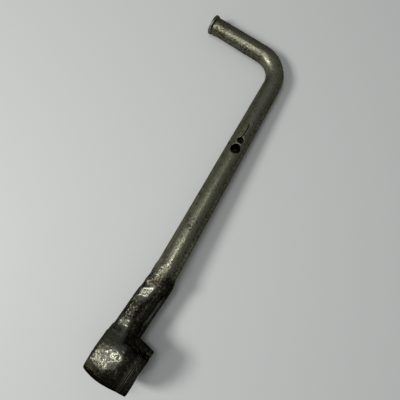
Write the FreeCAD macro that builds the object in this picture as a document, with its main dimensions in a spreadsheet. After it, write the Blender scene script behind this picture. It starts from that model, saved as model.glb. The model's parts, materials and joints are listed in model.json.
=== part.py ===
import FreeCAD, Part
import math
import os
import re
import Sketcher

# Crank-shaped lug wrench, millimetres.
#
# Plan frame, used while the pieces are made: the origin is where the axis of the socket cup crosses
# the axis of the neck. +X runs along the neck to the bar, the cup opens towards -Y, and the hand arm
# points the other way, towards +Y. The axes of cup, neck, bar and arm all lie in the plane Z = 0.
# At the end the whole tool is laid on its side: cup and end collar touch the floor, Z = 0 is the
# floor, and the origin is the middle of the bounding box's underside.

SIZES = [
    ("hex_flats", 21.0, "hexagon recess, across flats"),
    ("hex_depth", 20.0, "hexagon recess, depth from the rim"),
    ("mouth_radius", 13.2, "countersink at the rim, outer radius"),
    ("mouth_depth", 2.0, "countersink at the rim, depth"),
    ("mouth_run", 3.2, "countersink at the rim, how far it narrows over that depth"),
    ("rim_radius", 17.3, "cup, outer radius at the rim"),
    ("rim_reach", 24.6, "cup, neck axis to the rim"),
    ("shoulder_radius", 19.5, "cup, radius where the straight taper starts"),
    ("shoulder_reach", 8.5, "cup, neck axis to the start of the straight taper"),
    ("belly_curve", 44.0, "cup, radius of the curve round its belly"),
    ("heel_radius", 18.2, "cup, radius where the rounded back edge starts"),
    ("heel_reach", 10.2, "cup, neck axis to the rounded back edge"),
    ("heel_curve", 1.5, "cup, radius of the rounded back edge"),
    ("back_radius", 16.8, "cup, radius where the rounded back edge meets the back"),
    ("back_edge", 11.3, "cup, neck axis to the rim of the domed back"),
    ("back_reach", 12.3, "cup, neck axis to the middle of the domed back"),
    ("neck_width", 21.4, "neck, across, in the plane of the tool"),
    ("neck_depth", 16.0, "neck, thickness at right angles to the plane of the tool"),
    ("neck_round", 6.0, "neck, corner radius of the section"),
    ("neck_length", 61.4, "cup axis to the middle of the weld"),
    ("root_gap", 3.0, "gap between neck and bar, filled by the weld"),
    ("bevel", 3.0, "weld bevel on the ends of neck and bar"),
    ("fuller_start", 25.0, "cup axis to the near end of the forged groove"),
    ("fuller_length", 29.0, "length of the forged groove"),
    ("fuller_width", 8.0, "width of the forged groove"),
    ("fuller_depth", 1.6, "depth of the forged groove"),
    ("fuller_end", 4.1, "radius of the forged groove's rounded ends"),
    ("root_radius", 9.3, "bar, radius at the weld"),
    ("bend_radius", 7.2, "bar, radius of the stock in the bend"),
    ("bar_length", 195.2, "bar, middle of the weld to the corner of the two axes"),
    ("bar_kink", 4.9, "angle between neck and bar"),
    ("bend_curve", 21.0, "radius of the bend's centre line"),
    ("bend_turn", 86.1, "angle that the bend turns through"),
    ("arm_length", 68.0, "corner of the axes to the outer face of the collar"),
    ("grip_radius", 6.85, "arm, radius at the collar"),
    ("spigot_radius", 4.0, "turned-down end of the arm that holds the collar"),
    ("collar_radius", 7.9, "end collar, radius"),
    ("collar_width", 2.6, "end collar, thickness"),
    ("rivet_spread", 1.2, "countersink in the collar that the spigot is spread into"),
    ("edge_break", 0.6, "broken edges of collar and rim"),
    ("pin_hole_radius", 3.7, "large blind hole, radius"),
    ("pin_hole_place", 112.7, "large blind hole, distance from the weld"),
    ("pin_hole_floor", -4.0, "large blind hole, height of its floor above the bar's axis"),
    ("spot_hole_radius", 2.4, "small blind hole, radius"),
    ("spot_hole_place", 120.2, "small blind hole, distance from the weld"),
    ("spot_hole_floor", 3.0, "small blind hole, height of its floor above the bar's axis"),
    ("bead_radius", 10.3, "weld bead, greatest radius"),
    ("bead_edge_radius", 8.6, "weld bead, radius at its two edges"),
    ("bead_width", 11.0, "weld bead, width along the bar"),
]

doc = FreeCAD.newDocument("lug_wrench")
sheet = doc.addObject("Spreadsheet::Sheet", "sizes")
for row, (alias, value, meaning) in enumerate(SIZES, start=1):
    sheet.set(f"A{row}", meaning)
    sheet.set(f"B{row}", str(value))
    sheet.setAlias(f"B{row}", alias)
doc.recompute()

Y_AXIS = FreeCAD.Vector(0, 1, 0)
Z_AXIS = FreeCAD.Vector(0, 0, 1)
ALIASES = "|".join(alias for alias, value, meaning in SIZES)
TINY = 1e-7
probe = doc.addObject("App::FeaturePython", "probe")
probe.addProperty("App::PropertyFloat", "number")


def bind(target, **formulas):
    """Bind properties of an object to formulas on the sheet's aliases."""
    for name, formula in formulas.items():
        path = name.replace("__", ".")
        target.setExpression(path, re.sub(rf"\b({ALIASES})\b", r"sizes.\1", formula))


def value_of(formula):
    """The number that a formula on the sheet's aliases gives."""
    bind(probe, number=formula)
    probe.recompute()
    return probe.number


def bind_constraint(sketch, constraint, formula):
    """Add a dimension to a sketch and bind it to a formula."""
    number = sketch.addConstraint(constraint)
    bind(sketch, **{f"Constraints[{number}]": formula})


def place_point(sketch, geometry, vertex, across, up):
    """Hold a point of a sketch at a pair of formulas, measured from the sketch's origin."""
    for direction, axis, formula in (("DistanceX", -2, across), ("DistanceY", -1, up)):
        distance = value_of(formula)
        if abs(distance) < TINY:
            sketch.addConstraint(Sketcher.Constraint("PointOnObject", geometry, vertex, axis))
        else:
            constraint = Sketcher.Constraint(direction, -1, 1, geometry, vertex, distance)
            bind_constraint(sketch, constraint, formula)


def new_body(label):
    body = doc.addObject("PartDesign::Body", label)
    body.Label = label
    return body


def new_sketch(body, name, plane_role, **offset):
    """An empty sketch on one of the body's own origin planes, or offset from it by formulas."""
    plane = next(part for part in body.Origin.OriginFeatures if part.Role == plane_role)
    sketch = body.newObject("Sketcher::SketchObject", name)
    sketch.AttachmentSupport = [(plane, "")]
    sketch.MapMode = "FlatFace"
    bind(sketch, **{f"AttachmentOffset__{path}": formula for path, formula in offset.items()})
    return sketch


def draw_outline(sketch, start, *steps):
    """A closed outline from a start corner. A step is a line to a corner, (across, up), or an arc
    to it, (across, up, radius, side), where side 1 bulges to the right of the way along."""
    corners = [start] + [step[:2] for step in steps]
    points = [FreeCAD.Vector(value_of(across), value_of(up), 0) for across, up in corners]
    links = []
    for index, step in enumerate(steps):
        begin, end = points[index:index + 2]
        if len(step) == 2:
            sketch.addGeometry(Part.LineSegment(begin, end), False)
        else:
            half = (end - begin) * 0.5
            radius = value_of(step[2])
            rise = radius - math.sqrt(radius ** 2 - half.Length ** 2)
            outward = FreeCAD.Vector(half.y, -half.x, 0).normalize() * (rise * step[3])
            sketch.addGeometry(Part.Arc(begin, begin + half + outward, end), False)
        drawn = sketch.Geometry[index]
        links.append((1, 2) if drawn.StartPoint.isEqual(begin, TINY) else (2, 1))
    for index, step in enumerate(steps):
        onward = (index + 1) % len(steps)
        join = Sketcher.Constraint("Coincident", index, links[index][1], onward, links[onward][0])
        sketch.addConstraint(join)
        place_point(sketch, index, links[index][0], *corners[index])
        if len(step) > 2:
            arc = Sketcher.Constraint("Radius", index, value_of(step[2]))
            bind_constraint(sketch, arc, step[2])


def draw_circle(sketch, across, up, radius):
    """A circle whose centre and radius are formulas."""
    number = sketch.GeometryCount
    centre = FreeCAD.Vector(value_of(across), value_of(up), 0)
    sketch.addGeometry(Part.Circle(centre, Z_AXIS, value_of(radius)), False)
    bind_constraint(sketch, Sketcher.Constraint("Radius", number, value_of(radius)), radius)
    place_point(sketch, number, 3, across, up)


def feature(body, kind, name, profile, **settings):
    """A sketch-based feature of a body, recomputed so that the next one can build on it."""
    made = body.newObject(f"PartDesign::{kind}", name)
    made.Profile = profile
    for key, setting in settings.items():
        setattr(made, key, setting)
    profile.Visibility = False
    return made


def turned(body, kind, sketch, axis_name, name, angle="360"):
    """A revolution or a groove about one of its sketch's own axes."""
    made = feature(body, kind, name, sketch, ReferenceAxis=(sketch, [axis_name]))
    bind(made, Angle=angle)
    doc.recompute()
    return made


def demand_change(before, after, grows, name):
    """Stop if a feature has added or removed nothing."""
    change = after - before if grows else before - after
    if change < 1.0:
        raise RuntimeError(f"{name} left the volume at {after:.1f}")


# --- Socket head: one forging, a round cup with the neck growing out of its side -----------------

def build_socket_head():
    body = new_body("socket_head")

    cup_outline = new_sketch(body, "cup_outline", "XY_Plane")
    draw_outline(
        cup_outline, ("0", "-rim_reach"),
        ("rim_radius - edge_break", "-rim_reach"),
        ("rim_radius", "edge_break - rim_reach"),
        ("shoulder_radius", "-shoulder_reach"),
        ("heel_radius", "heel_reach", "belly_curve", 1),
        ("back_radius", "back_edge", "heel_curve", 1),
        ("0", "back_reach"),
        ("0", "-rim_reach"))
    turned(body, "Revolution", cup_outline, "V_Axis", "cup")

    neck_section = new_sketch(body, "neck_section", "YZ_Plane")
    half_width, half_depth = "neck_width / 2", "neck_depth / 2"
    flat_width, flat_depth = "(neck_width / 2 - neck_round)", "(neck_depth / 2 - neck_round)"
    draw_outline(
        neck_section, (flat_width, f"-{half_depth}"),
        (half_width, f"-{flat_depth}", "neck_round", 1),
        (half_width, flat_depth),
        (flat_width, half_depth, "neck_round", 1),
        (f"-{flat_width}", half_depth),
        (f"-{half_width}", flat_depth, "neck_round", 1),
        (f"-{half_width}", f"-{flat_depth}"),
        (f"-{flat_width}", f"-{half_depth}", "neck_round", 1),
        (flat_width, f"-{half_depth}"))
    neck = feature(body, "Pad", "neck", neck_section)
    bind(neck, Length="neck_length - root_gap / 2")
    doc.recompute()
    end_face = max(neck.Shape.Faces, key=lambda face: face.CenterOfMass.x)
    end_name = next(f"Face{number}" for number, face in enumerate(neck.Shape.Faces, start=1)
                    if face.isSame(end_face))
    weld_bevel = body.newObject("PartDesign::Chamfer", "weld_bevel")
    weld_bevel.Base = (neck, [end_name])
    bind(weld_bevel, Size="bevel")
    doc.recompute()

    for side, reversed_cut in ((1, False), (-1, True)):
        before = body.Shape.Volume
        groove = new_sketch(body, f"fuller_{'top' if side > 0 else 'under'}", "XY_Plane",
                            Base__z=f"{side} * neck_depth / 2")
        near, far = "fuller_start", "(fuller_start + fuller_length)"
        half = "fuller_width / 2"
        draw_outline(
            groove, (near, f"-{half}"),
            (far, f"-{half}"),
            (far, half, "fuller_end", 1),
            (near, half),
            (near, f"-{half}", "fuller_end", 1))
        cut = feature(body, "Pocket", f"fuller_cut_{'top' if side > 0 else 'under'}", groove,
                      Reversed=reversed_cut)
        bind(cut, Length="fuller_depth")
        doc.recompute()
        demand_change(before, body.Shape.Volume, False, cut.Name)

    before = body.Shape.Volume
    hexagon = new_sketch(body, "hexagon", "XZ_Plane", Base__z="rim_reach")
    apex, flat, half_flat = "hex_flats / sqrt(3)", "hex_flats / 2", "hex_flats / sqrt(3) / 2"
    draw_outline(
        hexagon, (apex, "0"),
        (half_flat, flat),
        (f"-{half_flat}", flat),
        (f"-{apex}", "0"),
        (f"-{half_flat}", f"-{flat}"),
        (half_flat, f"-{flat}"),
        (apex, "0"))
    recess = feature(body, "Pocket", "hexagon_recess", hexagon)
    bind(recess, Length="hex_depth")
    doc.recompute()
    demand_change(before, body.Shape.Volume, False, recess.Name)

    before = body.Shape.Volume
    mouth = new_sketch(body, "mouth_outline", "XY_Plane")
    draw_outline(
        mouth, ("0", "-rim_reach"),
        ("mouth_radius", "-rim_reach"),
        ("mouth_radius - mouth_run", "mouth_depth - rim_reach"),
        ("0", "mouth_depth - rim_reach"),
        ("0", "-rim_reach"))
    turned(body, "Groove", mouth, "V_Axis", "mouth_countersink")
    demand_change(before, body.Shape.Volume, False, "mouth_countersink")
    return body


# --- Crank bar: tapered round stock, bent once hot, with a turned-down end and two blind holes ----
# Its own frame has the weld's middle as origin and +X along the bar.

def build_crank_bar():
    body = new_body("crank_bar")
    bend_start = "(bar_length - bend_curve * tan(bend_turn / 2 * 1deg))"

    shank_outline = new_sketch(body, "shank_outline", "XY_Plane")
    draw_outline(
        shank_outline, ("root_gap / 2", "0"),
        (bend_start, "0"),
        (bend_start, "bend_radius"),
        ("root_gap / 2 + bevel", "root_radius"),
        ("root_gap / 2", "root_radius - bevel"),
        ("root_gap / 2", "0"))
    turned(body, "Revolution", shank_outline, "H_Axis", "shank")

    bend_section = new_sketch(body, "bend_section", "YZ_Plane", Base__z=bend_start)
    draw_circle(bend_section, "0", "0", "bend_radius")
    reach = value_of("bend_curve")
    pivot = [FreeCAD.Vector(reach, end, 0) for end in (-1, 1)]
    bend_section.addGeometry(Part.LineSegment(*pivot), True)
    place_point(bend_section, 1, 1, "bend_curve", "-1")
    place_point(bend_section, 1, 2, "bend_curve", "1")
    before = body.Shape.Volume
    bend = turned(body, "Revolution", bend_section, "Axis0", "bend", "bend_turn")
    reach_of_bend = body.Shape.BoundBox.XMax
    bend.Reversed = reach_of_bend < value_of(f"{bend_start} + bend_curve")
    doc.recompute()
    demand_change(before, body.Shape.Volume, True, bend.Name)

    before = body.Shape.Volume
    arm_outline = new_sketch(body, "arm_outline", "XY_Plane", Base__x="bar_length",
                             Rotation__Angle="bend_turn")
    arm_start = "bend_curve * tan(bend_turn / 2 * 1deg)"
    collar_seat = "arm_length - collar_width"
    draw_outline(
        arm_outline, (arm_start, "0"),
        ("arm_length", "0"),
        ("arm_length", "spigot_radius + rivet_spread"),
        ("arm_length - rivet_spread", "spigot_radius"),
        (collar_seat, "spigot_radius"),
        (collar_seat, "grip_radius"),
        (arm_start, "bend_radius"),
        (arm_start, "0"))
    turned(body, "Revolution", arm_outline, "H_Axis", "arm")
    demand_change(before, body.Shape.Volume, True, "arm")

    for name in ("pin_hole", "spot_hole"):
        before = body.Shape.Volume
        outline = new_sketch(body, f"{name}_outline", "XY_Plane", Base__z=f"{name}_floor")
        draw_circle(outline, f"{name}_place", "0", f"{name}_radius")
        cut = feature(body, "Pocket", name, outline, Reversed=True)
        bind(cut, Length=f"2 * root_radius - {name}_floor")
        doc.recompute()
        demand_change(before, body.Shape.Volume, False, cut.Name)
    return body


# --- End collar: a thick washer on the spigot, held by the spread end of the spigot --------------
# Its own frame has the middle of its inner face as origin and +X along the arm, outwards.

def build_end_collar():
    body = new_body("end_collar")
    ring = new_sketch(body, "ring_outline", "XY_Plane")
    draw_outline(
        ring, ("0", "spigot_radius"),
        ("collar_width - rivet_spread", "spigot_radius"),
        ("collar_width", "spigot_radius + rivet_spread"),
        ("collar_width", "collar_radius - edge_break"),
        ("collar_width - edge_break", "collar_radius"),
        ("edge_break", "collar_radius"),
        ("0", "collar_radius - edge_break"),
        ("0", "spigot_radius"))
    turned(body, "Revolution", ring, "H_Axis", "ring")
    return body


# --- Neck weld: fills the bevelled gap between neck and bar and crowns over both ------------------
# The bead is turned about the bar's axis, and what neck and bar already fill is cut away from it.

def build_weld_bead():
    body = new_body("weld_bead")
    bead = new_sketch(body, "bead_outline", "XY_Plane")
    draw_outline(
        bead, ("-bead_width / 2", "0"),
        ("bead_width / 2", "0"),
        ("bead_width / 2", "bead_edge_radius"),
        ("bead_width / 4", "bead_radius - edge_break / 2"),
        ("-bead_width / 4", "bead_radius - edge_break / 2"),
        ("-bead_width / 2", "bead_edge_radius"),
        ("-bead_width / 2", "0"))
    turned(body, "Revolution", bead, "H_Axis", "bead")
    return body


def build_neck_weld(weld_bead, socket_head, crank_bar):
    steel = doc.addObject("Part::MultiFuse", "neck_and_bar")
    steel.Shapes = [socket_head, crank_bar]
    weld = doc.addObject("Part::Cut", "neck_weld")
    weld.Base = weld_bead
    weld.Tool = steel
    weld.Label = "neck_weld"
    return weld


# --- The tool laid on its side ------------------------------------------------------------------

def plan_places():
    """Where each piece's own frame lies in the plan frame."""
    kink = FreeCAD.Rotation(Z_AXIS, value_of("bar_kink"))
    bar = FreeCAD.Placement(FreeCAD.Vector(value_of("neck_length"), 0, 0), kink)
    turn = FreeCAD.Rotation(Z_AXIS, value_of("bend_turn"))
    arm = bar * FreeCAD.Placement(FreeCAD.Vector(value_of("bar_length"), 0, 0), turn)
    seat = FreeCAD.Vector(value_of("arm_length - collar_width"), 0, 0)
    collar = arm * FreeCAD.Placement(seat, FreeCAD.Rotation())
    return {"socket_head": FreeCAD.Placement(), "crank_bar": bar, "weld_bead": bar,
            "end_collar": collar}


def lay_down(bodies, kept):
    """Tip the plan until cup and collar touch the floor, then bring the origin under its middle."""
    places = plan_places()
    cup_radius = doc.getObject("socket_head").Shape.optimalBoundingBox(False).ZMax
    drop = cup_radius - value_of("collar_radius")
    slope = math.degrees(math.asin(drop / places["end_collar"].Base.x))
    tip = FreeCAD.Placement(FreeCAD.Vector(), FreeCAD.Rotation(Y_AXIS, slope))
    for body in bodies:
        body.Placement = tip * places[body.Label]
    doc.recompute()
    box = FreeCAD.BoundBox()
    for piece in kept:
        box.add(piece.Shape.optimalBoundingBox(False))
    middle = FreeCAD.Vector(-box.Center.x, -box.Center.y, -box.ZMin)
    shift = FreeCAD.Placement(middle, FreeCAD.Rotation())
    for body in bodies:
        body.Placement = shift * tip * places[body.Label]
    doc.recompute()


def check_model(kept):
    """Stop unless every object computed and every kept piece is one valid solid."""
    for thing in doc.Objects:
        if "Invalid" in thing.State or "Error" in thing.State:
            raise RuntimeError(f"{thing.Label} failed: {thing.State}")
    for piece in kept:
        shape = piece.Shape
        if shape.isNull() or not shape.isValid() or len(shape.Solids) != 1:
            raise RuntimeError(f"{piece.Label} isn't one valid solid")


def main():
    socket_head = build_socket_head()
    crank_bar = build_crank_bar()
    end_collar = build_end_collar()
    weld_bead = build_weld_bead()
    neck_weld = build_neck_weld(weld_bead, socket_head, crank_bar)
    doc.recompute()
    kept = [socket_head, crank_bar, end_collar, neck_weld]
    lay_down([socket_head, crank_bar, end_collar, weld_bead], kept)
    check_model(kept)
    os.makedirs("parts", exist_ok=True)
    for piece in kept:
        piece.Shape.exportStep(f"parts/{piece.Label}.step")
        box = piece.Shape.BoundBox
        print(f"{piece.Label}: {piece.Shape.Volume / 1000:.2f} cm3, "
              f"{box.XLength:.1f} x {box.YLength:.1f} x {box.ZLength:.1f} mm")


main()
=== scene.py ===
import json
import math

import bpy
import numpy as np
from mathutils import Matrix, Vector


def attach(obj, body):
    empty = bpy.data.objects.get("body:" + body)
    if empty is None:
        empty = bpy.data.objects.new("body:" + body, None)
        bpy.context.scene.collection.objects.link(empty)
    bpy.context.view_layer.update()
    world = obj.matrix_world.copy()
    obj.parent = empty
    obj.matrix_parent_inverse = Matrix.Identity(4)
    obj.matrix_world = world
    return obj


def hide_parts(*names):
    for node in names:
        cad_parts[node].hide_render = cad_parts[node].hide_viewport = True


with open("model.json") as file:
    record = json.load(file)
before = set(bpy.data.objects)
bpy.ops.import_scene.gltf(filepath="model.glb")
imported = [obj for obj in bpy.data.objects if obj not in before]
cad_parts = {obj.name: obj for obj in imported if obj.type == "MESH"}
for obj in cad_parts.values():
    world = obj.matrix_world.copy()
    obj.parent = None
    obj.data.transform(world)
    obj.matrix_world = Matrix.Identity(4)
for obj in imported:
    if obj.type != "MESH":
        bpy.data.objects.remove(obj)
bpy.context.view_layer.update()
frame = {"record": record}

# Crank-shaped lug wrench, worn forged steel. The pieces are made in the plan frame, in millimetres:
# the origin is where the axis of the socket cup crosses the axis of the neck, +X runs along the neck
# to the bar, the cup opens towards -Y, the hand arm points towards +Y, and Z = 0 holds all the axes.
# A piece is a signed distance, negative inside, that skin() turns into a closed mesh.

MM = 0.001
SEED = 20

# The socket cup and its recess
CUP_RIM = 24.6            # neck axis to the rim
CUP_BACK = 12.3           # neck axis to the middle of the domed back
CUP_DOME = 1.0            # fall of the domed back from its middle to its edge
CUP_BACK_RADIUS = 16.8
CUP_HEEL = 1.5            # radius of the rounded back edge
RIM_RADIUS = 17.3
TAPER = math.atan2(2.2, 16.1)   # widening from the rim to the shoulder, over the way between them
CUP_SHOULDER = -8.5       # where the straight taper meets the curve of the belly
BELLY_RADIUS = 44.0       # curve round the cup's belly
BELLY_AXIS = -24.05       # centre of that curve, measured from the cup's axis
BELLY_PLACE = -2.2        # and along it
RIM_EDGE = 0.8            # radius of the rim's edge
HEX_HALF = 10.5           # half the hexagon's width across flats
HEX_DEPTH = 20.0
HEX_FLOOR = 1.0           # rounding where the hexagon's flats meet its floor
HEX_EDGE = 0.5
MOUTH_RADIUS = 13.2
MOUTH_SLOPE = math.atan2(3.2, 2.0)   # of the countersink, its width over its depth
MOUTH_DEPTH = 4.0         # deep enough for the countersink to run out on the hexagon

# The neck and the weld
NECK_HALF_WIDTH = 10.7
NECK_HALF_DEPTH = 8.0
NECK_ROUND = 6.0
NECK_ROUND_INSIDE = 3.5   # the corners on the +Y side are sharper
NECK_TAPER = 0.9          # how far the +Y side has drawn in by the weld
SIDE_FILLET = 1.0         # between neck and cup
TOP_FILLET = 5.0          # the same, above and below
NECK_LENGTH = 61.4        # cup axis to the middle of the weld
ROOT_GAP = 3.0            # between the end faces of neck and bar
BEVEL = 3.0
END_EDGE = 0.3            # radius of the edges of those ends
WELD_LAYER = 0.9          # how deep the weld reaches under the skins of neck and bar
WELD_CROWN = 0.16         # how far it stands above them
WELD_FEATHER = 1.5        # and how far it runs out past the bevels

# The bar, its hand arm and the collar
BAR_KINK = math.radians(4.9)
BEND_TURN = math.radians(86.1)
BEND_CURVE = 21.0
BAR_LENGTH = 195.2        # weld to the corner of the bar's and the arm's axes
ARM_LENGTH = 68.0         # that corner to the outer face of the collar
ROOT_RADIUS = 9.3         # the bar tapers from here to the bend, and a little more to the collar
ROOT_SWELL = 0.6          # extra thickness on the +Y side, most of it just past the weld
BEND_RADIUS = 7.2
GRIP_RADIUS = 6.85
SEAT_EDGE = 0.5           # radius of the edge next to the collar
SPIGOT_RADIUS = 4.0
SPIGOT_ROOT = 3.0         # how far the spigot starts inside the bar
SPIGOT_GAP = 0.04         # spigot and hole each stand back this far from the line between them
RIVET_SPREAD = 1.2
RIVET_SUNK = 0.05         # the spigot's end lies this far behind the collar's face
COLLAR_RADIUS = 7.9
COLLAR_WIDTH = 2.6
COLLAR_EDGE = 0.8
COLLAR_HOLE_EDGE = 0.1
COLLAR_GAP = 0.03         # between the collar and its seat

# The holes: place along the bar, radius, height of the floor above the axis, layer of noise
PIN_HOLE = (112.7, 3.7, -4.0, 3)
SPOT_HOLE = (120.2, 2.4, 3.0, 5)
HOLE_EDGE = 0.45
HOLE_WEAR = 0.9           # how far wear takes a hole out of round
HOLE_WEAR_SIZE = 2.2      # of that wear's features
HOLE_WEAR_STRETCH = 0.2   # they are this much slower to change along the hole

BEND_REACH = BEND_CURVE * math.tan(BEND_TURN / 2)
BEND_START = BAR_LENGTH - BEND_REACH
BEND_END = BEND_START + BEND_CURVE * BEND_TURN
BAR_END = BEND_END + ARM_LENGTH - BEND_REACH
COLLAR_SEAT = BAR_END - COLLAR_WIDTH

CELL = 0.45   # size of the grid that the skins are found on
COLLAR_CELL = 0.6 * CELL
WELD_CELL = 0.7 * CELL

# --- The plan frame, found from the socket and the large hole of the record ----------------------

MOUNTS = {mount["name"]: mount for mount in frame["record"]["mounts"]}
OPENING = np.array(MOUNTS["wheel_nut_socket"]["axis"], float)
PLAN_Y = -OPENING
PLAN_Z = np.array(MOUNTS["pin_hole"]["axis"], float)
PLAN_Z = PLAN_Z / np.linalg.norm(PLAN_Z)
PLAN_X = np.cross(PLAN_Y, PLAN_Z)
PLAN_ORIGIN = np.array(MOUNTS["wheel_nut_socket"]["pos_m"], float) - OPENING * CUP_RIM * MM


def to_row(points):
    """Plan-frame millimetres to row-frame metres."""
    return PLAN_ORIGIN + points @ np.stack([PLAN_X, PLAN_Y, PLAN_Z]) * MM


# --- Numbers on points ---------------------------------------------------------------------------

def smooth(low, high, value):
    """0 below low, 1 above high, and an even curve between."""
    share = np.clip((value - low) / (high - low), 0.0, 1.0)
    return share * share * (3.0 - 2.0 * share)


def bump(value, centre, half_width):
    """1 at the centre, falling evenly to 0 at half_width from it."""
    return smooth(half_width, 0.0, np.abs(value - centre))


def corner(a, b, radius):
    """Both inside a and inside b, with the edge between them rounded to a radius."""
    outside = np.hypot(np.maximum(a + radius, 0.0), np.maximum(b + radius, 0.0))
    return np.minimum(np.maximum(a, b), -radius) + outside


def without(a, b, radius):
    """Inside a and outside b, with a rounded edge."""
    return corner(a, -b, radius)


def joined(a, b, radius):
    """Inside a or inside b, with a fillet between them. The radius may vary from point to point."""
    return -corner(-a, -b, radius)


LATTICE = 64
TABLE = np.random.default_rng(SEED).random((LATTICE, LATTICE, LATTICE)).astype(np.float32)
OCTAVES = 3
NOISE_SHIFT = 17.31       # how far apart the layers of noise are in the lattice
CELL_SHIFT = 31.7         # and those of the cell noise
AWAY = 1000.0             # where in the lattice both start


def noise(points, size, layer):
    """Smooth noise from 0 to 1 with features of a size. Each layer is a different pattern."""
    place = points / size + NOISE_SHIFT * layer + AWAY
    base = np.floor(place).astype(int)
    share = place - base
    share = share * share * (3.0 - 2.0 * share)
    total = np.zeros(len(points))
    for step in range(8):
        offset = np.array([step >> 2 & 1, step >> 1 & 1, step & 1])
        index = (base + offset) % LATTICE
        weight = np.prod(np.where(offset == 1, share, 1.0 - share), axis=1)
        total += weight * TABLE[index[:, 0], index[:, 1], index[:, 2]]
    return total


def rough_noise(points, size, layer):
    """Noise with finer noise on it, from 0 to 1."""
    total = 0.0
    for octave in range(OCTAVES):
        total = total + 0.5 ** octave * noise(points, size / 2 ** octave, layer + octave)
    return total / (2.0 - 2.0 * 0.5 ** OCTAVES)


def cell_noise(points, size, layer):
    """Distances, in cell sizes, to the nearest and second nearest of scattered points."""
    place = points / size + CELL_SHIFT * layer + AWAY
    base = np.floor(place).astype(int)
    nearest = np.full(len(points), 9.0)
    second = np.full(len(points), 9.0)
    for step in range(27):
        offset = np.array([step // 9, step // 3 % 3, step % 3]) - 1
        index = (base + offset) % LATTICE
        rolled = [TABLE[index[:, k], index[:, (k + 1) % 3], index[:, (k + 2) % 3]] for k in range(3)]
        seed_point = base + offset + np.stack(rolled, 1)
        distance = np.linalg.norm(seed_point - place, axis=1)
        second = np.minimum(second, np.maximum(nearest, distance))
        nearest = np.minimum(nearest, distance)
    return nearest, second


# --- A closed mesh from a signed distance --------------------------------------------------------

SLOPE_STEP = 0.05         # how far apart the gradient is measured, to either side
LONGEST_MOVE = 0.4        # of a point in one round of settling
LEAST_SLOPE = 0.1         # of the squared gradient, so that no point is thrown far away
UNDERSIDE = -0.7          # skin that faces down more than this gets no bumps, as it meets the floor


def gradient(shape, points):
    """The slope of a signed distance at the points."""
    columns = []
    for axis in np.eye(3) * SLOPE_STEP:
        columns.append((shape(points + axis) - shape(points - axis)) / (2 * SLOPE_STEP))
    return np.stack(columns, 1)


def settle(shape, points, rounds):
    """Move points along the gradient onto the surface."""
    for _ in range(rounds):
        slope = gradient(shape, points)
        steep = np.maximum((slope ** 2).sum(1), LEAST_SLOPE)
        move = shape(points) / steep
        points = points - slope * np.clip(move, -LONGEST_MOVE, LONGEST_MOVE)[:, None]
    return points


def sample(shape, low, counts, cell):
    """The signed distance at the corners of a grid of cells that starts at low."""
    field = np.empty(counts, np.float32)
    across = low[1] + cell * np.arange(counts[1])
    up = low[2] + cell * np.arange(counts[2])
    grid = np.stack(np.meshgrid([0.0], across, up, indexing="ij"), -1).reshape(-1, 3)
    for index in range(counts[0]):
        grid[:, 0] = low[0] + cell * index
        field[index] = shape(grid).reshape(counts[1:])
    return field


def skin(shape, low, high, cell):
    """Points and quads of the surface where shape is 0, looked for in the box from low to high. Each
    grid cell that the surface crosses gets one point, and each grid edge that it crosses gets one
    quad."""
    low, high = np.array(low, float), np.array(high, float)
    counts = np.ceil((high - low) / cell).astype(int) + 1
    field = sample(shape, low, counts, cell)
    inside = field < 0
    corners = [(i, j, k) for i in (0, 1) for j in (0, 1) for k in (0, 1)]
    size = counts - 1
    within = np.zeros(size, np.int8)
    for i, j, k in corners:
        within += inside[i:i + size[0], j:j + size[1], k:k + size[2]]
    crossed = np.argwhere((within > 0) & (within < 8))
    number = np.full(size, -1)
    number[tuple(crossed.T)] = np.arange(len(crossed))

    total = np.zeros((len(crossed), 3))
    hits = np.zeros(len(crossed))
    for start in corners:
        for axis in range(3):
            if start[axis]:
                continue
            end = np.array(start)
            end[axis] = 1
            a = field[tuple((crossed + start).T)]
            b = field[tuple((crossed + end).T)]
            cut = (a < 0) != (b < 0)
            share = a[cut] / (a[cut] - b[cut])
            total[cut] += np.array(start) + share[:, None] * (end - np.array(start))
            hits[cut] += 1
    points = low + cell * (crossed + total / hits[:, None])

    quads = []
    for axis in range(3):
        u, v = (axis + 1) % 3, (axis + 2) % 3
        ahead = np.roll(inside, -1, axis)
        changes = np.argwhere(inside != ahead)
        keep = (changes[:, axis] < counts[axis] - 1) & (changes[:, u] > 0) & (changes[:, v] > 0)
        changes = changes[keep]
        back_u, back_v = np.eye(3, dtype=int)[u], np.eye(3, dtype=int)[v]
        ring = [changes, changes - back_u, changes - back_u - back_v, changes - back_v]
        quad = np.stack([number[tuple(place.T)] for place in ring], 1)
        outward = inside[tuple(changes.T)]
        quads.append(np.where(outward[:, None], quad, quad[:, ::-1]))
    return points, np.concatenate(quads)


def relax(shape, points, quads):
    """Even out the spacing of the points without leaving the surface."""
    edges = np.concatenate([quads[:, [k, (k + 1) % 4]] for k in range(4)])
    count = np.bincount(edges[:, 0], minlength=len(points))
    for _ in range(3):
        mean = np.stack([np.bincount(edges[:, 0], points[edges[:, 1], k], len(points))
                         for k in range(3)], 1) / count[:, None]
        points = settle(shape, points + 0.5 * (mean - points), 1)
    return settle(shape, points, 2)


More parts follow.
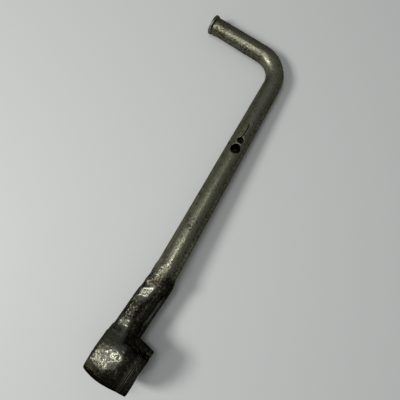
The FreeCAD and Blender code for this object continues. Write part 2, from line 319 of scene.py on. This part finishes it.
def make_piece(name, node, shape, box, cell, relief, material):
    """A piece of the tool: the skin of its shape, then its relief, then the marks that its material
    reads. The shape fits in the box, which is given by two corners. relief(points) gives the height
    to add and a dictionary of marks."""
    points, quads = skin(shape, *box, cell)
    points = relax(shape, settle(shape, points, 3), quads)
    slope = gradient(shape, points)
    normals = slope / np.maximum(np.linalg.norm(slope, axis=1), 1e-6)[:, None]
    height, marks = relief(points)
    height = np.where(normals[:, 2] < UNDERSIDE, np.minimum(height, 0.0), height)
    points = points + normals * height[:, None]

    mesh = bpy.data.meshes.new(name)
    mesh.from_pydata(to_row(points).tolist(), [], quads.tolist())
    mesh.validate()
    mesh.shade_smooth()
    for mark, values in marks.items():
        layer = mesh.attributes.new(mark, "FLOAT", "POINT")
        layer.data.foreach_set("value", np.clip(values, 0.0, 1.0).astype(np.float32))
    mesh.materials.append(material)
    piece = bpy.data.objects.new(name, mesh)
    bpy.context.scene.collection.objects.link(piece)
    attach(piece, "root")
    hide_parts(node)


# --- Shapes --------------------------------------------------------------------------------------

def neck_section(p):
    """Distance from the neck's section, a rectangle with round corners, in Y and Z."""
    inside = smooth(-2.0, 4.0, p[:, 1])
    curve = NECK_ROUND + (NECK_ROUND_INSIDE - NECK_ROUND) * inside
    half_width = NECK_HALF_WIDTH - NECK_TAPER * inside * smooth(36.0, 60.0, p[:, 0])
    return corner(np.abs(p[:, 1]) - half_width, np.abs(p[:, 2]) - NECK_HALF_DEPTH, curve)


def neck_bar(p):
    """The neck from the cup's axis to its bevelled end at the weld."""
    side = neck_section(p)
    end = p[:, 0] - (NECK_LENGTH - ROOT_GAP / 2)
    bevel = (side + end + BEVEL) * math.sqrt(0.5)
    return np.maximum(corner(side, np.maximum(end, bevel), END_EDGE), -p[:, 0])


def cup_outside(p):
    """The cup turned round the Y axis: taper, belly, rounded heel and domed back."""
    radius = np.hypot(p[:, 0], p[:, 2])
    y = p[:, 1]
    taper = (radius - RIM_RADIUS - (y + CUP_RIM) * math.tan(TAPER)) * math.cos(TAPER)
    belly = np.hypot(radius - BELLY_AXIS, y - BELLY_PLACE) - BELLY_RADIUS
    side = np.where(y < CUP_SHOULDER, taper, belly)
    back = y - CUP_BACK + CUP_DOME * (radius / CUP_BACK_RADIUS) ** 2
    shell = corner(side, back, CUP_HEEL)
    return corner(shell, -CUP_RIM - y, RIM_EDGE)


def hexagon_hole(p):
    """The hexagon recess with its countersunk mouth."""
    across, up = np.abs(p[:, 0]), np.abs(p[:, 2])
    flats = np.maximum(up, up * 0.5 + across * math.sqrt(0.75)) - HEX_HALF
    depth = p[:, 1] + CUP_RIM - HEX_DEPTH
    recess = corner(flats, depth, HEX_FLOOR)
    radius = np.hypot(p[:, 0], p[:, 2])
    inward = p[:, 1] + CUP_RIM
    mouth = (radius - MOUTH_RADIUS) * math.cos(MOUTH_SLOPE) + inward * math.sin(MOUTH_SLOPE)
    return np.minimum(recess, np.maximum(mouth, inward - MOUTH_DEPTH))


def socket_head(p):
    """Cup and neck in one. The fillet between them is tight on the sides, wide above and below."""
    fillet = SIDE_FILLET + (TOP_FILLET - SIDE_FILLET) * smooth(3.0, 8.0, np.abs(p[:, 2]))
    body = joined(cup_outside(p), neck_bar(p), fillet)
    return without(body, hexagon_hole(p), HEX_EDGE)


def bar_frame(p):
    """Plan points as (along, aside, up) in the bar's own frame, from the middle of the weld."""
    x, y = p[:, 0] - NECK_LENGTH, p[:, 1]
    along = x * math.cos(BAR_KINK) + y * math.sin(BAR_KINK)
    aside = y * math.cos(BAR_KINK) - x * math.sin(BAR_KINK)
    return along, aside, p[:, 2]


def along_bar(p):
    """Distance along the bar's centre line, sideways offset towards the inside of the bend, and up."""
    along, aside, up = bar_frame(p)
    turn = np.arctan2(along - BEND_START, BEND_CURVE - aside)
    from_pivot = np.hypot(along - BEND_START, BEND_CURVE - aside)
    end_along = along - BEND_START - BEND_CURVE * math.sin(BEND_TURN)
    end_aside = aside - BEND_CURVE * (1.0 - math.cos(BEND_TURN))
    on_arm = end_along * math.cos(BEND_TURN) + end_aside * math.sin(BEND_TURN)
    arm_side = end_aside * math.cos(BEND_TURN) - end_along * math.sin(BEND_TURN)
    choices = [
        (along <= BEND_START, along, aside),
        ((turn >= 0.0) & (turn <= BEND_TURN), BEND_START + BEND_CURVE * turn, BEND_CURVE - from_pivot),
        (on_arm >= 0.0, BEND_END + on_arm, arm_side)]
    best = np.full(len(p), 1e9)
    place = np.zeros(len(p))
    offset = np.full(len(p), 1e3)
    for valid, stretch_place, stretch_offset in choices:
        nearer = valid & (np.abs(stretch_offset) < best)
        best = np.where(nearer, np.abs(stretch_offset), best)
        place = np.where(nearer, stretch_place, place)
        offset = np.where(nearer, stretch_offset, offset)
    return place, offset, up


def bar_radius(place):
    """The bar's radius, which falls evenly to the bend and again along the hand arm."""
    stops = [ROOT_GAP / 2 + BEVEL, BEND_START, BEND_END, COLLAR_SEAT]
    return np.interp(place, stops, [ROOT_RADIUS, BEND_RADIUS, BEND_RADIUS, GRIP_RADIUS])


def root_swell(place, offset):
    """How far the bar's root swells on its +Y side, which runs on straight from the neck."""
    return ROOT_SWELL * bump(place, 6.0, 9.0) * smooth(0.0, 6.0, offset)


def blind_hole(p, place, radius, floor, layer):
    """Distance from the inside of a hole that years of wear have pulled out of round."""
    along, aside, up = bar_frame(p)
    around = np.stack([along - place, aside, up * HOLE_WEAR_STRETCH], 1)
    ragged = (noise(around, HOLE_WEAR_SIZE, layer) - 0.5) * HOLE_WEAR
    return np.maximum(np.hypot(along - place, aside) - radius - ragged, floor - up)


def spigot_side(place, radius):
    """Distance from the side of the spigot, whose end is spread like a rivet."""
    spread = np.maximum(place - BAR_END + RIVET_SPREAD, 0.0)
    return radius - SPIGOT_RADIUS - spread


def crank_bar(p):
    """The bar with its bevelled root, the spigot that holds the collar and the two holes."""
    place, offset, up = along_bar(p)
    radius = np.hypot(offset, up)
    outside = radius - root_swell(place, offset)
    side = outside - bar_radius(place)
    root = ROOT_GAP / 2 - place
    bevel = (outside - ROOT_RADIUS + ROOT_GAP / 2 + BEVEL - place) * math.sqrt(0.5)
    body = corner(side, np.maximum(root, bevel), END_EDGE)
    body = corner(body, place - COLLAR_SEAT, SEAT_EDGE)
    spigot = corner(spigot_side(place, radius) + SPIGOT_GAP, place - BAR_END + RIVET_SUNK, END_EDGE)
    whole = np.minimum(body, np.maximum(spigot, COLLAR_SEAT - SPIGOT_ROOT - place))
    for hole in (PIN_HOLE, SPOT_HOLE):
        whole = without(whole, blind_hole(p, *hole), HOLE_EDGE)
    return whole


def end_collar(p):
    """The flange on the arm's tip, with the countersunk hole that the spigot is spread into."""
    place, offset, up = along_bar(p)
    radius = np.hypot(offset, up)
    faces = np.abs(place - COLLAR_SEAT - COLLAR_WIDTH / 2) - COLLAR_WIDTH / 2 + COLLAR_GAP
    ring = corner(radius - COLLAR_RADIUS, faces, COLLAR_EDGE)
    return without(ring, spigot_side(place, radius) - SPIGOT_GAP, COLLAR_HOLE_EDGE)


def neck_weld(p):
    """A low bead whose feathered edges run out just under the skin of the neck and the bar."""
    along, aside, up = bar_frame(p)
    reach = ROOT_GAP / 2 + BEVEL
    share = smooth(-reach, reach, along)
    bar_side = np.hypot(aside, up) - root_swell(along, aside) - ROOT_RADIUS
    side = neck_section(p) * (1.0 - share) + bar_side * share
    crown = WELD_CROWN * (1.0 - (along / reach) ** 2)
    bead = np.maximum(side - crown, np.abs(along) - reach - WELD_FEATHER)
    root = ROOT_GAP / 2 - along
    bevel = (bar_side + ROOT_GAP / 2 + BEVEL - along) * math.sqrt(0.5)
    bar_end = np.maximum(bar_side, np.maximum(root, bevel))
    return np.maximum(np.maximum(bead, -WELD_LAYER - neck_bar(p)), -WELD_LAYER - bar_end)


# --- Relief and marks ----------------------------------------------------------------------------

# Patterns: the size of their features in millimetres, and their layer of noise
UNEVENNESS = (9.0, 1)
DENTS = (2.6, 2)
PITS = (1.5, 3)
FACETS = (1.7, 6)
HANDLING = (12.0, 7)
RAGGED_SIDE = (3.0, 8)
VEIN_PATH = (3.5, 9)
RUBBED_EDGE = (3.0, 10)
BLOTCHES = (6.0, 11)
RUST_PATCHES = (14.0, 15)
HEAT_PATCHES = (4.0, 19)
GRIP_DIRT = (3.0, 21)

# Heights and depths in millimetres
UNEVEN_HEIGHT = 0.30
DENT_DEPTH = 0.12
PIT_DEPTH = 0.12
FACET_HEIGHT = 0.10
LAND_HEIGHT = 0.9         # of the neck's two lands above the rest of its top
STEP_DEPTH = 0.5          # of the hollow beside the crest of the lands
CROWN_DROP = 0.8          # the cup's top sinks this much below a turned shape round its middle,
BACK_DROP = 1.2           # and this much more towards its back
SEAM_DEPTH = 0.35

# Places in millimetres
HEAT_PLACE = 60.0         # middle of the weld's heat marks, along the neck
SEAM_START = 120.0        # along the bar
SEAM_END = 137.5


def hammered(p):
    """Shallow rounded dents side by side, 0 on the crests to -1 in the dents."""
    nearest, second = cell_noise(p, *DENTS)
    return -smooth(0.0, 0.75, second - nearest)


def pitted(p):
    """Small pits, 0 outside them to -1 at their floors."""
    return -smooth(0.62, 0.82, noise(p, *PITS))


def worn_skin(p):
    """The relief and the marks that the whole tool shares, so they run on from piece to piece."""
    x, y = p[:, 0], p[:, 1]
    height = UNEVEN_HEIGHT * (0.5 - rough_noise(p, *UNEVENNESS))
    height = height + DENT_DEPTH * (0.4 + hammered(p)) + PIT_DEPTH * pitted(p)
    browned = bump(x, HEAT_PLACE - 1.0, 7.0) * smooth(-6.0, 0.0, y)
    browned = browned * smooth(0.1, 0.6, noise(p, *HEAT_PATCHES))
    # darker round the weld, and darker still on its -Y side
    weld_darkening = (0.62 + 0.5 * smooth(0.5, -3.5, y)) * bump(x, HEAT_PLACE, 15.0)
    grime_and_shade = np.maximum(0.5 * smooth(0.45, 0.8, rough_noise(p, *BLOTCHES)), weld_darkening)
    rust = smooth(0.5, 0.85, rough_noise(p, *RUST_PATCHES))
    return height, {
        "wear": rough_noise(p, *HANDLING) * (1.0 - 0.8 * bump(x, HEAT_PLACE, 8.0)),
        "grime_and_shade": np.maximum(grime_and_shade, 0.75 * browned),
        "rust": np.maximum(rust, browned),
        "streaks": np.zeros(len(p)),
        "across": np.zeros(len(p))}


def raise_mark(marks, name, *values):
    """Raise a mark to the highest of the values given for it."""
    for value in values:
        marks[name] = np.maximum(marks[name], value)


def plateau(value, centre, half_width, slope_width):
    """1 within half_width of the centre, falling evenly to 0 over slope_width."""
    return smooth(half_width + slope_width, half_width, np.abs(value - centre))


def neck_forging(p):
    """How far the hand-forged top of the neck sinks below the plain section, and the shares of it
    that are polished and that are painted with shade. Two raised lands follow each other along it,
    with a crest down their middles. The +Y side of the crest is flat on the land near the weld, and
    the -Y side falls away. The painted shade lies on the -Y side of the crest, between the lands
    and on the +Y side off the near land."""
    x, y = p[:, 0], p[:, 1]
    on_top = smooth(12.0, 16.0, x) * smooth(57.5, 52.5, x) * smooth(1.0, 6.0, p[:, 2])
    crest = np.interp(x, [18.0, 32.0, 44.0, 53.0], [0.0, 2.4, 1.2, 0.2])
    near_land = plateau(x + 0.5 * y, 50.5, 3.2, 5.0)
    far_land = plateau(x, 21.5, 4.0, 4.0)
    low = smooth(13.0, 20.0, x) * (1.0 - np.maximum(near_land, far_land))

    right = np.maximum(crest - y, 0.0)
    left = np.maximum(y - crest - 1.5, 0.0)
    hollow = STEP_DEPTH * bump(y, crest - 2.6, 2.6)
    fall = 0.24 * right + 0.12 * left * (1.0 - near_land) + hollow

    vein = bump(y, crest + 1.0 + 3.0 * (noise(p, *VEIN_PATH) - 0.5), 2.6)
    polished = near_land * smooth(7.6, 6.4, y) * smooth(1.5, 0.2, right) + far_land * vein
    # painted shade: the -Y side of the crest, the low ground between the lands, and the +Y side away
    # from the near land
    ragged = right + 3.0 * (noise(p, *RAGGED_SIDE) - 0.5)
    left_shade = np.maximum(0.55 * smooth(0.0, 2.5, left) * (1.0 - near_land), 0.7 * smooth(6.4, 7.6, y))
    neck_shade = np.maximum(1.3 * smooth(0.0, 3.5, ragged), np.maximum(0.95 * low, left_shade))
    return on_top * (fall + LAND_HEIGHT * low), on_top * polished, on_top * neck_shade


def head_relief(p):
    """The cup's lowered crown and rubbed top, its darker rim half, the painted shade on its flanks,
    on a patch between its -X flank and its rim, by the neck and towards its back, the neck's lands,
    and the draw lines round the rim and along the neck."""
    x, y, z = p.T
    height, marks = worn_skin(p)
    sunk, polished, shaded = neck_forging(p)
    on_cup = smooth(17.0, 13.0, x)
    crown = CROWN_DROP * bump(x, 2.5, 14.0) + BACK_DROP * smooth(-12.0, 5.0, y)
    height = height * (1.0 - 0.6 * polished) - sunk - crown * smooth(2.0, 12.0, z) * on_cup
    rubbed = bump(x, 5.5, 10.0) * bump(y, -2.5, 12.0) * smooth(8.0, 14.0, z)
    height = height + on_cup * FACET_HEIGHT * (1.0 + rubbed) * (0.5 - noise(p, *FACETS))

    blotches = rough_noise(p, *BLOTCHES) - 0.5
    # The rim half is darker. Painted shade: a patch between the -X flank and the rim, the -X flank,
    # the +X corner by the neck on the rim side, the cup towards its back, and the shaded parts of the
    # neck's top.
    darker_rim = smooth(-4.0, -13.0, y + 8.0 * blotches) * on_cup
    shade_patch = smooth(13.0, 6.0, np.hypot(x + 13.0, y + 9.0) + 14.0 * blotches)
    far_flank_shade = smooth(-10.0, -17.0, x)
    neck_corner_shade = 0.9 * smooth(12.0, 17.0, x) * smooth(-6.0, -9.0, y)
    heel = 0.5 * smooth(5.0, 9.0, y) * on_cup
    raise_mark(marks, "grime_and_shade", darker_rim, shade_patch, far_flank_shade, neck_corner_shade, heel, 0.9 * shaded)

    polished = np.maximum(polished, smooth(0.25, 0.7, rubbed + 0.8 * (noise(p, *RUBBED_EDGE) - 0.5)))
    raise_mark(marks, "wear", 1.2 * polished)
    marks["grime_and_shade"] = marks["grime_and_shade"] * (1.0 - 0.85 * polished)

    ring_lines = bump(y, -19.5, 4.5) * on_cup
    neck_lines = smooth(28.0, 36.0, x) * smooth(54.0, 46.0, x) * smooth(-5.0, -7.0, y)
    marks["streaks"] = np.maximum(ring_lines, neck_lines)
    marks["across"] = 0.5 + np.where(x < 24.0, y, y - z) / 100.0
    return height, marks


def bar_relief(p):
    """The smoother shank, the near black insides of its holes, the seam that runs from the small one,
    the matt strip before the bend, painted shade along the outer side of bar and arm, and the hand
    arm, which has grip dirt on it and painted shade on its flanks."""
    height, marks = worn_skin(p)
    along, aside, up = bar_frame(p)
    before_bend = smooth(BEND_END, BEND_START, along)
    # the insides of the holes are painted near black
    for place, radius, floor, _ in (PIN_HOLE, SPOT_HOLE):
        inside = smooth(radius + 0.7, radius - 0.1, np.hypot(along - place, aside))
        inside = inside * smooth(floor - 0.5, floor - 0.1, up)
        raise_mark(marks, "grime_and_shade", 2.0 * inside)
    on_shank = smooth(6.0, 22.0, along) * before_bend
    height = height * (1.0 - 0.55 * on_shank)
    marks["wear"] = marks["wear"] * (1.0 - 0.7 * on_shank * smooth(15.0, 60.0, along))

    on_top = smooth(0.0, 3.0, up)
    seam = np.interp(along, [120.0, 124.0, 131.0, 136.0], [0.3, 0.0, -0.5, 0.3])
    cut = bump(aside, seam, 0.8) * smooth(SEAM_START, SEAM_START + 2.0, along)
    cut = cut * smooth(SEAM_END, SEAM_END - 2.0, along) * on_top
    raise_mark(marks, "grime_and_shade", 1.4 * cut)
    matt = bump(aside, 1.2, 5.5) * smooth(126.0, 142.0, along) * before_bend
    raise_mark(marks, "wear", 1.3 * matt * on_top)

    place, offset, _ = along_bar(p)
    on_arm = smooth(BEND_END - 12.0, BEND_END, place)
    # painted shade on the arm's flanks and along the outer side of bar and arm, with grip dirt along
    # the whole arm
    flanks = 0.30 * smooth(2.5, 5.5, np.abs(offset))
    grip_dirt_and_shade = on_arm * (0.30 + flanks - 0.2 * noise(p, *GRIP_DIRT))
    shaded = 0.5 * smooth(-2.5, -6.0, offset)
    raise_mark(marks, "grime_and_shade", shaded, grip_dirt_and_shade)
    marks["wear"] = marks["wear"] * (1.0 - 0.7 * on_arm)
    return height - SEAM_DEPTH * cut, marks


# --- Materials -----------------------------------------------------------------------------------

MIX_SHARE, MIX_FIRST, MIX_SECOND, MIX_RESULT = 0, 6, 7, 2   # sockets of a Mix node set to colour


class Nodes:
    """A short way to write a node tree. Its methods return sockets to plug into other nodes."""

    def __init__(self, tree):
        self.tree = tree

    def plug(self, node, inputs):
        """Link a node's inputs to sockets, or set them to values."""
        for key, value in inputs.items():
            if isinstance(value, bpy.types.NodeSocket):
                self.tree.links.new(value, node.inputs[key])
            else:
                node.inputs[key].default_value = value

    def add(self, kind, output, inputs, **settings):
        node = self.tree.nodes.new(kind)
        for key, value in settings.items():
            setattr(node, key, value)
        self.plug(node, inputs)
        return node.outputs[output]

    def place(self, kind):
        return self.add("ShaderNodeTexCoord", kind, {})

    def mark(self, name):
        return self.add("ShaderNodeAttribute", "Fac", {}, attribute_name=name)

    def noise(self, place, scale, detail=4.0, roughness=0.6):
        inputs = {"Vector": place, "Scale": scale, "Detail": detail, "Roughness": roughness}
        return self.add("ShaderNodeTexNoise", "Fac", inputs)

    def span(self, value, low, high, out_low=0.0, out_high=1.0):
        """The value, moved from the range low to high to the range out_low to out_high."""
        inputs = {"Value": value, "From Min": low, "From Max": high,
                  "To Min": out_low, "To Max": out_high}
        return self.add("ShaderNodeMapRange", "Result", inputs)

    def blend(self, share, first, second):
        inputs = {MIX_SHARE: share, MIX_FIRST: first, MIX_SECOND: second}
        return self.add("ShaderNodeMix", MIX_RESULT, inputs, data_type="RGBA")

    def maths(self, operation, first, second):
        return self.add("ShaderNodeMath", "Value", {0: first, 1: second}, operation=operation)


OLIVE = (0.095, 0.096, 0.070, 1.0)
WARM_OLIVE = (0.178, 0.176, 0.124, 1.0)
PALE = (0.20, 0.20, 0.155, 1.0)
PALE_OLIVE = (0.248, 0.245, 0.182, 1.0)
# near black, for soot and for painted shade
SOOT_AND_SHADE = (0.008, 0.007, 0.0045, 1.0)
BROWN = (0.10, 0.065, 0.038, 1.0)
EDGE_TINT = (0.35, 0.34, 0.27, 1.0)   # oxide darkens the steel where it is seen edge-on

# Scales of the textures, in features to the metre
CLOUD_SCALE = 90.0
GRAIN_SCALE = 700.0
DENT_SCALE = 900.0
PIT_SCALE = 1100.0
LINE_SCALE = 160.0        # this one on the across mark, which grows by 1 in 100 mm
DENT_HEIGHT = 0.0003


def worn_steel(name, base, bright, rust_share):
    """Oxidised steel: the base colour, brighter where the wear mark is high, browner by the rust
    mark, near black where the mark that holds dirt and painted shade is high and in small pits,
    and with fine bright lines by the streaks mark, which lie side by side in the direction in
    which the across mark grows."""
    material = bpy.data.materials.new(name)
    material.use_nodes = True
    n = Nodes(material.node_tree)
    shader = material.node_tree.nodes["Principled BSDF"]
    place = n.place("Object")

    clouds = n.noise(place, CLOUD_SCALE)
    grain = n.noise(place, GRAIN_SCALE, 5.0, 0.7)
    pits = n.noise(place, PIT_SCALE, 3.0, 0.6)
    inputs = {"W": n.mark("across"), "Scale": LINE_SCALE, "Detail": 3.0}
    lines = n.add("ShaderNodeTexNoise", "Fac", inputs, noise_dimensions="1D")
    lines = n.maths("MULTIPLY", n.mark("streaks"), n.span(lines, 0.55, 0.64))
    wear = n.span(n.maths("ADD", n.mark("wear"), n.span(clouds, 0.3, 0.7, -0.3, 0.3)), 0.25, 0.85)
    grime_and_shade = n.span(n.maths("ADD", n.mark("grime_and_shade"), n.span(grain, 0.35, 0.65, -0.4, 0.4)), 0.3, 0.9)
    rust = n.span(n.maths("ADD", n.mark("rust"), n.span(clouds, 0.3, 0.7, -0.4, 0.4)), 0.2, 1.0)

    colour = n.blend(wear, base, bright)
    colour = n.blend(n.maths("MULTIPLY", rust, rust_share), colour, BROWN)
    colour = n.blend(n.maths("MULTIPLY", grime_and_shade, 0.96), colour, SOOT_AND_SHADE)
    speck = n.span(pits, 0.55, 0.66)
    colour = n.blend(n.maths("MULTIPLY", speck, 0.7), colour, SOOT_AND_SHADE)
    colour = n.blend(n.maths("MULTIPLY", lines, 0.95), colour, bright)

    rough = n.span(wear, 0.0, 1.0, 0.40, 0.24)
    rough = n.maths("ADD", rough, n.span(grime_and_shade, 0.0, 1.0, 0.0, 0.2))
    rough = n.maths("ADD", rough, n.span(grain, 0.3, 0.7, -0.08, 0.08))

    dents = n.noise(place, DENT_SCALE, 3.0, 0.5)
    strength = n.span(wear, 0.0, 1.0, 0.4, 0.25)
    inputs = {"Strength": strength, "Distance": DENT_HEIGHT, "Height": dents}
    relief = n.add("ShaderNodeBump", "Normal", inputs)
    tint = n.blend(grime_and_shade, EDGE_TINT, SOOT_AND_SHADE)
    n.plug(shader, {"Base Color": colour, "Metallic": 1.0, "Roughness": rough,
                    "Specular Tint": tint, "Normal": relief})
    return material


head_steel = worn_steel("head_steel", OLIVE, PALE, 0.5)
bar_steel = worn_steel("bar_steel", WARM_OLIVE, PALE_OLIVE, 0.3)
collar_steel = worn_steel("collar_steel", WARM_OLIVE, PALE_OLIVE, 0.3)
weld_steel = worn_steel("weld_steel", WARM_OLIVE, PALE, 0.5)

# --- The pieces ----------------------------------------------------------------------------------

HEAD_BOX = ((-22, -27, -22), (62, 15, 22))
BAR_BOX = ((60, -14, -12), (268, 88, 12))
COLLAR_BOX = ((244, 78, -10), (266, 88, 10))
WELD_BOX = ((54, -13, -12), (70, 14, 12))

make_piece("forged_socket", "socket_head", socket_head,
           HEAD_BOX, CELL, head_relief, head_steel)
make_piece("forged_bar", "crank_bar", crank_bar,
           BAR_BOX, CELL, bar_relief, bar_steel)
make_piece("riveted_collar", "end_collar", end_collar,
           COLLAR_BOX, COLLAR_CELL, worn_skin, collar_steel)
make_piece("weld_seam", "neck_weld", neck_weld,
           WELD_BOX, WELD_CELL, worn_skin, weld_steel)

# --- Floor, light and camera ---------------------------------------------------------------------

VIEW_TURN = math.radians(34.22)   # from the row's +X to the top of the picture
VIEW_UP = Vector((math.cos(VIEW_TURN), math.sin(VIEW_TURN), 0.0))
VIEW_RIGHT = Vector((VIEW_UP.y, -VIEW_UP.x, 0.0))
AIM = Vector((0.00679, -0.01874, 0.0))   # the spot on the floor in the middle of the picture
CAMERA_HEIGHT = 0.3152
CAMERA_TIP = math.radians(8.0)

FLOOR_REACH = 3.0
FLOOR_COLOUR = (0.595, 0.605, 0.59, 1.0)
FLOOR_ROUGHNESS = 0.6
SKY_COLOUR = (0.95, 0.98, 1.0, 1.0)
SKY_LOW, SKY_HIGH = 0.12, 0.28   # strengths at the horizon and straight above


def aimed(data, name, location, right):
    """A light or camera at a location, looking at the middle of the picture, with its own X axis
    as near to right as that allows."""
    thing = bpy.data.objects.new(name, data)
    forward = (AIM - location).normalized()
    up = right.cross(forward).normalized()
    side = forward.cross(up)
    thing.location = location
    thing.rotation_mode = "QUATERNION"
    thing.rotation_quaternion = Matrix((side, up, -forward)).transposed().to_quaternion()
    bpy.context.scene.collection.objects.link(thing)
    return thing


def add_floor():
    mesh = bpy.data.meshes.new("floor")
    sides = [(-1, -1), (1, -1), (1, 1), (-1, 1)]
    corners = [(FLOOR_REACH * x, FLOOR_REACH * y, 0) for x, y in sides]
    mesh.from_pydata(corners, [], [(0, 1, 2, 3)])
    floor = bpy.data.objects.new("floor", mesh)
    bpy.context.scene.collection.objects.link(floor)
    material = bpy.data.materials.new("pale_floor")
    material.use_nodes = True
    shader = material.node_tree.nodes["Principled BSDF"]
    shader.inputs["Base Color"].default_value = FLOOR_COLOUR
    shader.inputs["Roughness"].default_value = FLOOR_ROUGHNESS
    mesh.materials.append(material)


def add_light(name, bearing, height, distance, size, power):
    """A soft square light. Its bearing goes round the picture from its right towards its top, and
    its height is above the floor, both in degrees. Metres and watts."""
    light = bpy.data.lights.new(name, "AREA")
    light.size = size
    light.energy = power
    turn, rise = math.radians(bearing), math.radians(height)
    level = VIEW_RIGHT * math.cos(turn) + VIEW_UP * math.sin(turn)
    beside = VIEW_UP * math.cos(turn) - VIEW_RIGHT * math.sin(turn)
    direction = level * math.cos(rise) + Vector((0, 0, math.sin(rise)))
    aimed(light, name, AIM + direction * distance, beside)


def add_world():
    """A dim room, brighter towards its ceiling."""
    world = bpy.data.worlds.new("studio")
    world.use_nodes = True
    background = world.node_tree.nodes["Background"]
    n = Nodes(world.node_tree)
    upward = n.add("ShaderNodeSeparateXYZ", "Z", {"Vector": n.place("Generated")})
    strength = n.span(upward, 0.0, 1.0, SKY_LOW, SKY_HIGH)
    n.plug(background, {"Color": SKY_COLOUR, "Strength": strength})
    bpy.context.scene.world = world


def add_camera():
    """Almost straight above, tipped a little, with the neck rising to the right in the picture."""
    data = bpy.data.cameras.new("camera")
    data.lens = 36.0
    data.sensor_width = 36.0
    data.clip_start = 0.01
    location = AIM + Vector((0, 0, CAMERA_HEIGHT)) - VIEW_UP * CAMERA_HEIGHT * math.tan(CAMERA_TIP)
    bpy.context.scene.camera = aimed(data, "camera", location, VIEW_RIGHT)


add_floor()
add_world()
add_light("ceiling_lamp", bearing=150.0, height=82.0, distance=0.75, size=0.164, power=0.85)
add_light("window", bearing=183.0, height=47.0, distance=1.25, size=0.32, power=9.2)
add_light("side_lamp", bearing=222.0, height=48.0, distance=1.4, size=0.16, power=1.4)
add_camera()
bpy.context.scene.view_settings.view_transform = "Standard"
